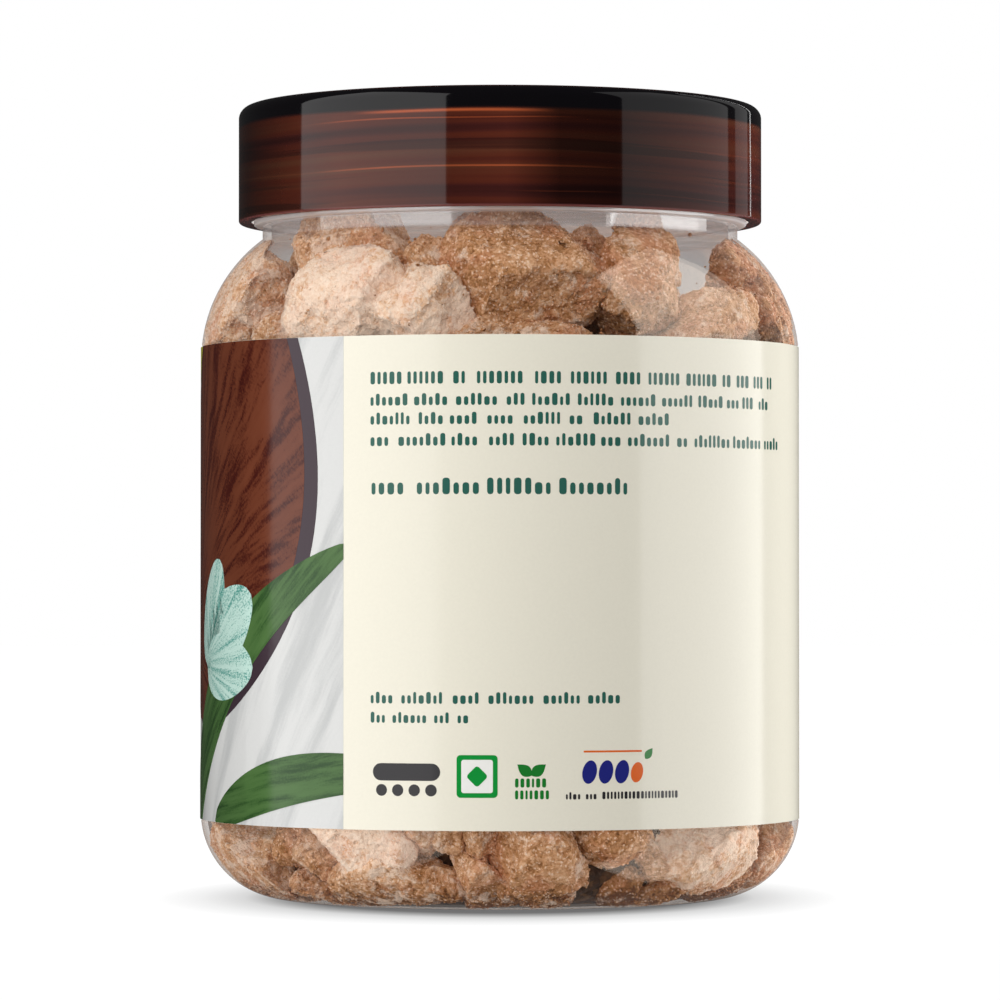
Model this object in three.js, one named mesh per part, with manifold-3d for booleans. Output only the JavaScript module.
// A shut, clear jar packed with broken lumps of jaggery: a blown plastic jar with a screw neck,
// a dark wood-look screw lid, a wrap-round label and the heap of lumps that fills the jar.
// Millimetres, +Z up, origin at the centre of the base. The front of the jar faces -Y.

import * as THREE from "three";
import { ConvexGeometry } from "three/addons/geometries/ConvexGeometry.js";
import { mergeVertices } from "three/addons/utils/BufferGeometryUtils.js";
import Module from "manifold-3d";

const wasm = await Module();
wasm.setup();

// Driving dimensions
const bodyRadius = 40; // over the label, the widest part
const wall = 0.7; // of the blown body
const baseCorner = 11.5; // radius of the round between base and side
const panelDepth = 0.2; // the label sits this far back from the rounds above and below it
const panelFoot = 10.4;
const panelTop = 73.6;
const shoulderRadius = 20;
const shoulderHeight = 71.7; // where the shoulder's round starts
const neckRadius = 31.8;
const neckWall = 1.2;
const neckTop = 103.2;
const neckFillet = 0.6;
const beadFoot = 89.6; // of the ring round the neck that the lid comes down over
const beadTop = 91.1;
const beadRadius = 33;
const lidRadius = 35;
const lidFoot = 90;
const lidTop = 105.6;
const lidRound = 1.6; // of the lid's top edge
const lidBore = 33.2;
const lidRoof = 1.6;
const lidEdge = 0.4; // cut off the lid's lower edges
const threadFoot = 94; // where the neck's thread starts
const threadPitch = 4.2;
const threadTurns = 1.25;
const threadSize = 0.95; // radius of the round bead that winds up the neck
const labelThickness = 0.15;
const labelMargin = 0.2; // of bare panel above and below the label
const pushUp = 1.8; // how far the middle of the base stands off the floor
const standRing = [24.5, 28.5]; // inner and outer radius of the flat ring that the jar stands on
const heapGap = 0.3; // between the lumps and the plastic
const sides = 36; // facets round every turned piece

// Points on an arc, angles in degrees, centre (radius, height).
function arc(radius, height, size, from, to, steps) {
  return Array.from({ length: steps + 1 }, (_, i) => {
    const angle = THREE.MathUtils.degToRad(from + ((to - from) * i) / steps);
    return new THREE.Vector2(radius + size * Math.cos(angle), height + size * Math.sin(angle));
  });
}

const point = (radius, height) => new THREE.Vector2(radius, height);

// A profile of (radius, height) points turned about the Z axis.
function turned(profile, facets = sides) {
  return new THREE.LatheGeometry(profile, facets).rotateX(Math.PI / 2);
}

// A closed geometry as a solid that others can be joined to, and back.
function solidOf(geometry) {
  const bare = geometry.clone();
  bare.deleteAttribute("normal");
  bare.deleteAttribute("uv");
  const merged = mergeVertices(bare, 1e-4);
  return new wasm.Manifold(
    new wasm.Mesh({
      numProp: 3,
      vertProperties: merged.attributes.position.array,
      triVerts: new Uint32Array(merged.index.array),
    }),
  );
}

function geometryOf(solid) {
  const mesh = solid.getMesh();
  const geometry = new THREE.BufferGeometry();
  geometry.setAttribute("position", new THREE.BufferAttribute(new Float32Array(mesh.vertProperties), 3));
  geometry.setIndex(new THREE.BufferAttribute(new Uint32Array(mesh.triVerts), 1));
  geometry.computeVertexNormals();
  return geometry;
}

function named(name, geometry, color, roughness, extra = {}) {
  const material = new THREE.MeshStandardMaterial({ color, roughness, metalness: 0, ...extra });
  const mesh = new THREE.Mesh(geometry, material);
  mesh.name = name;
  return mesh;
}

const shoulderCentre = bodyRadius - shoulderRadius;
const baseCentre = bodyRadius - baseCorner;

// Angle, in degrees, at which the shoulder's round of the given size reaches a radius.
const shoulderAngle = (size, radius) =>
  THREE.MathUtils.radToDeg(Math.acos((radius - shoulderCentre) / size));

// The jar's inside, from the mouth down to the middle of the floor, moved in by a gap.
function insideProfile(gap, mouth) {
  const bore = neckRadius - neckWall - gap;
  const shoulder = shoulderRadius - wall - gap;
  const side = bodyRadius - panelDepth - wall - gap;
  const floor = wall + gap;
  const [start, end] = [bore, side].map((radius) => shoulderAngle(shoulder, radius));
  const corner = side - baseCentre;
  return [
    point(bore, mouth),
    ...arc(shoulderCentre, shoulderHeight, shoulder, start, end, 5),
    point(side, floor + corner),
    ...arc(baseCentre, floor + corner, corner, -15, -90, 5),
    point(standRing[0], floor),
    point(standRing[0] - 4, floor + pushUp * 0.55),
    point(standRing[0] / 2, floor + pushUp * 0.9),
    point(0, floor + pushUp),
  ];
}

// A round bead that climbs the neck, or the lid's bore, as a screw thread.
class Helix extends THREE.Curve {
  constructor(radius, foot) {
    super();
    this.radius = radius;
    this.foot = foot;
  }

  getPoint(t, target = new THREE.Vector3()) {
    const angle = t * threadTurns * 2 * Math.PI;
    const height = this.foot + t * threadTurns * threadPitch;
    return target.set(this.radius * Math.cos(angle), this.radius * Math.sin(angle), height);
  }
}

function thread(radius, foot) {
  const section = new THREE.Shape(new THREE.Path().absarc(0, 0, threadSize, 0, 2 * Math.PI).getPoints(3));
  return new THREE.ExtrudeGeometry(section, {
    steps: 36,
    extrudePath: new Helix(radius, foot),
    bevelEnabled: false,
  });
}

function jar() {
  const panelRadius = bodyRadius - panelDepth;
  const filletCentre = neckRadius + neckFillet;
  const filletRise = Math.sqrt(
    (shoulderRadius + neckFillet) ** 2 - (filletCentre - shoulderCentre) ** 2,
  );
  const filletAngle = THREE.MathUtils.radToDeg(Math.atan2(filletRise, filletCentre - shoulderCentre));
  const outside = [
    point(0, pushUp),
    point(standRing[0] / 2, pushUp * 0.9),
    point(standRing[0] - 4, pushUp * 0.55),
    point(standRing[0], 0),
    ...arc(baseCentre, baseCorner, baseCorner, -90, -7, 7),
    point(panelRadius, panelFoot),
    point(panelRadius, panelTop),
    ...arc(shoulderCentre, shoulderHeight, shoulderRadius, 6, filletAngle, 6),
    ...arc(filletCentre, shoulderHeight + filletRise, neckFillet, 180 + filletAngle, 180, 2),
    point(neckRadius, beadFoot),
    point(beadRadius - 0.3, beadFoot + 0.1),
    point(beadRadius, beadFoot + 0.4),
    point(beadRadius, beadTop - 0.3),
    point(beadRadius - 0.4, beadTop),
    point(neckRadius, beadTop + 0.1),
    point(neckRadius, neckTop - 0.4),
    point(neckRadius - 0.4, neckTop),
    point(neckRadius - neckWall + 0.3, neckTop),
  ];
  const shell = solidOf(turned([...outside, ...insideProfile(0, neckTop - 0.3)]));
  const withThread = shell.add(solidOf(thread(neckRadius - 0.05, threadFoot)));
  return named("jar", geometryOf(withThread), 0xf2f4f3, 0.05, { transparent: true, opacity: 0.3 });
}

function lid() {
  const profile = [
    point(0, lidTop - lidRoof),
    point(lidBore, lidTop - lidRoof),
    point(lidBore, lidFoot + lidEdge),
    point(lidBore + lidEdge / 2, lidFoot),
    point(lidRadius - lidEdge, lidFoot),
    point(lidRadius - lidEdge * 0.3, lidFoot + lidEdge * 0.3),
    point(lidRadius, lidFoot + lidEdge),
    ...arc(lidRadius - lidRound, lidTop - lidRound, lidRound, 0, 90, 4),
    point(0, lidTop),
  ];
  const engaged = threadFoot - threadPitch / 2; // between the turns of the neck's thread
  const withThread = solidOf(turned(profile)).add(solidOf(thread(lidBore + 0.05, engaged)));
  return named("lid", geometryOf(withThread), 0x3c1610, 0.25);
}

function label() {
  const inner = bodyRadius - labelThickness;
  const foot = panelFoot + labelMargin;
  const top = panelTop - labelMargin;
  const corners = [[inner, foot], [bodyRadius, foot], [bodyRadius, top], [inner, top], [inner, foot]];
  const sleeve = turned(corners.map(([radius, height]) => point(radius, height)));
  return named("label", sleeve, 0xe9e3d0, 0.5);
}

// The same stream of numbers from 0 to 1 for the same start.
function stream(start) {
  let state = start >>> 0;
  return () => {
    state = (Math.imul(state, 1664525) + 1013904223) >>> 0;
    return state / 2 ** 32;
  };
}

// Radius of the space for lumps at a height. It keeps to the shoulder's round up into the neck.
function roomAt(height) {
  const side = bodyRadius - panelDepth - wall;
  const corner = side - baseCentre;
  if (height > shoulderHeight) {
    const shoulder = shoulderRadius - wall;
    const rise = Math.min(height - shoulderHeight, shoulder);
    return Math.min(side, shoulderCentre + Math.sqrt(shoulder ** 2 - rise ** 2));
  }
  const drop = THREE.MathUtils.clamp(wall + corner - height, 0, corner);
  return baseCentre + Math.sqrt(corner ** 2 - drop ** 2);
}

// The lumps against the front of the wall, as they lie: degrees to the right of the front, height,
// width, tallness, depth, how far back from the wall, and degrees rolled anticlockwise.
const frontLumps = [
  [-76, 79.5, 21, 17, 14, -1.5, 30],
  [-56, 84.8, 18.5, 14, 13, 1.5, -8],
  [-35.6, 77.7, 17, 13.5, 13, -1, 12],
  [-16, 78.3, 11.5, 10, 11, 0, -20],
  [-19.3, 84.3, 7, 7, 8, 2, 20],
  [5, 81.9, 20, 18.5, 15, -1, 8],
  [24.8, 84.5, 5.5, 7.5, 9, 4, 0],
  [33.5, 81.8, 11.5, 18, 11.5, -0.5, -6],
  [77, 80.3, 17, 17, 13, -1.5, -25],
  [54.6, 74, 14, 11.5, 12, -1, 15],
  [10.2, 72.1, 12.5, 7, 10, 1, 0],
  [-6.3, 72.4, 11, 7, 10, 1.5, 10],
  [-58.9, 74, 7, 7.5, 10, 3, 0],
  [-76, 5.6, 21, 12.5, 14, -1.5, -35],
  [-55.4, 6.2, 9, 7.5, 10, 3, 15],
  [-32.5, 9.1, 14, 8.5, 11, -1, -12],
  [-27.2, 3.6, 18.5, 8, 13, -0.5, -4],
  [-18.1, 10.3, 6.5, 6, 9, 0.5, 0],
  [-9.5, 10, 6.5, 6, 9, 1, 25],
  [-3.6, 9, 5, 6.5, 9, 2, 10],
  [-7.3, 4, 6.5, 8.5, 9, 2, 10],
  [6.5, 6, 14, 12, 13, -1, -20],
  [12.9, 3, 7.5, 6.5, 9, 0, 30],
  [25.7, 8.6, 10, 8.5, 11, -1, 30],
  [44.5, 2.8, 8, 6, 9, 4.5, 0],
  [59.6, 2.6, 9, 5.5, 9, 0, -5],
  [40.1, 5.7, 8.5, 8, 9, 3.5, 40],
  [55.6, 7.8, 14.5, 10.5, 12, -1, 20],
  [76, 5.8, 19, 12, 12, 0, 25],
];

// Rings of lumps elsewhere: height, how far their middles lie from the wall, how many, where the
// ring starts and how far it goes, in degrees to the right of the front, and the lumps' size.
const rings = [
  { height: 77, inset: 5.5, count: 10, start: 102, sweep: 168, size: 15 },
  { height: 84, inset: 6, count: 5, start: 150, sweep: 118, size: 12 },
  { height: 79, inset: 16, count: 8, start: 10, sweep: 360, size: 15 },
  { height: 80, inset: 28, count: 4, start: 30, sweep: 360, size: 15 },
  { height: 6.5, inset: 5.5, count: 9, start: 103, sweep: 162, size: 15 },
  { height: 5, inset: 15, count: 10, start: 20, sweep: 360, size: 11 },
  { height: 6, inset: 25, count: 5, start: 40, sweep: 360, size: 11 },
];

// The top of the heap is uneven: it lies low round this angle, to the right and behind.
const hollow = { angle: 100, spread: 45, depth: 12 };
const hollowAt = (angle) => hollow.depth * Math.exp(-(((angle - hollow.angle) / hollow.spread) ** 2));

const placeSeed = 41;
const shapeSeed = 7;
const frontCorners = 18; // corners of a lump that shows, before the hull drops any
const ringCorners = 12;
const heapTop = 90.6;
const coreInset = 7; // of the heap's hidden middle from the wall
const coreTop = 75;
const coreSides = 20;
const bandRadius = 36.8; // of the plain middle that the label covers
const bandFoot = 15;
const bandTop = 69;
const goldenAngle = Math.PI * (3 - Math.sqrt(5));

// A corner of a lump, brought in to where the plastic and the floor leave room for it.
function kept(corner) {
  const reach = Math.hypot(corner.x, corner.y);
  const floor = wall + heapGap + (reach < standRing[0] ? pushUp : 0);
  corner.z = THREE.MathUtils.clamp(corner.z, floor, heapTop);
  const inward = Math.min(1, (roomAt(corner.z) - heapGap) / reach);
  corner.x *= inward;
  corner.y *= inward;
  return corner;
}

// One broken lump: the hull of seeded corners spread over an uneven ball, which is rolled about
// its own front-to-back line and set at an angle round the jar.
function lump(random, corners, size, roll, angle, distance, height) {
  const rolled = THREE.MathUtils.degToRad(-roll);
  const turnedTo = THREE.MathUtils.degToRad(angle);
  const frontToBack = new THREE.Vector3(0, 1, 0);
  const up = new THREE.Vector3(0, 0, 1);
  const points = Array.from({ length: corners }, (_, i) => {
    const rise = 1 - (2 * (i + 0.5)) / corners + (random() - 0.5) * 0.2;
    const turn = goldenAngle * i + (random() - 0.5) * 0.9;
    const reach = 0.88 + 0.2 * random();
    const level = THREE.MathUtils.clamp(rise, -0.97, 0.97);
    const ring = Math.sqrt(1 - level ** 2);
    const corner = new THREE.Vector3(ring * Math.cos(turn), ring * Math.sin(turn), level);
    corner.multiply(size).multiplyScalar(reach / 2);
    corner.applyAxisAngle(frontToBack, rolled);
    corner.y -= distance;
    corner.applyAxisAngle(up, turnedTo);
    corner.z += height;
    return kept(corner);
  });
  return new ConvexGeometry(points);
}

// What fills the jar up to a height, moved in from the plastic by a gap.
const filling = (gap, top) => [...insideProfile(gap, top).reverse(), point(0, top)];

function heap() {
  const place = stream(placeSeed);
  const shape = stream(shapeSeed);
  const lumps = frontLumps.map(([angle, height, width, tall, deep, inset, roll]) => {
    const size = new THREE.Vector3(width, deep, tall);
    const distance = roomAt(height) - deep / 2 - inset;
    return lump(shape, frontCorners, size, roll, angle, distance, height);
  });
  for (const { height, inset, count, start, sweep, size } of rings) {
    for (let i = 0; i < count; i += 1) {
      const angle = start + (sweep * (i + 0.5 + (place() - 0.5) * 0.35)) / count;
      const level = height + (place() - 0.5) * 2 - (height > bandTop ? hollowAt(angle) : 0);
      const stretch = 0.85 + 0.3 * place();
      const roll = (place() - 0.5) * 90;
      const form = new THREE.Vector3(size * stretch, size * 0.85, (size * 0.9) / stretch);
      lumps.push(lump(shape, ringCorners, form, roll, angle, roomAt(level) - inset, level));
    }
  }
  const band = [
    point(0, bandFoot),
    point(bandRadius, bandFoot),
    point(bandRadius, bandTop),
    point(0, bandTop),
  ];
  const core = turned(filling(coreInset, coreTop), coreSides);
  const middle = solidOf(core).add(solidOf(turned(band, coreSides)));
  const joined = lumps.reduce((whole, form) => whole.add(solidOf(form)), middle);
  // Pockets that the lumps shut in between them have a volume below zero, and are left out.
  const closed = joined.decompose().find((body) => body.volume() > 0);
  return named("jaggery_heap", geometryOf(closed), 0xc99a6e, 0.9);
}

const filledJar = new THREE.Group();
filledJar.add(jar(), lid(), label(), heap());

export default filledJar;
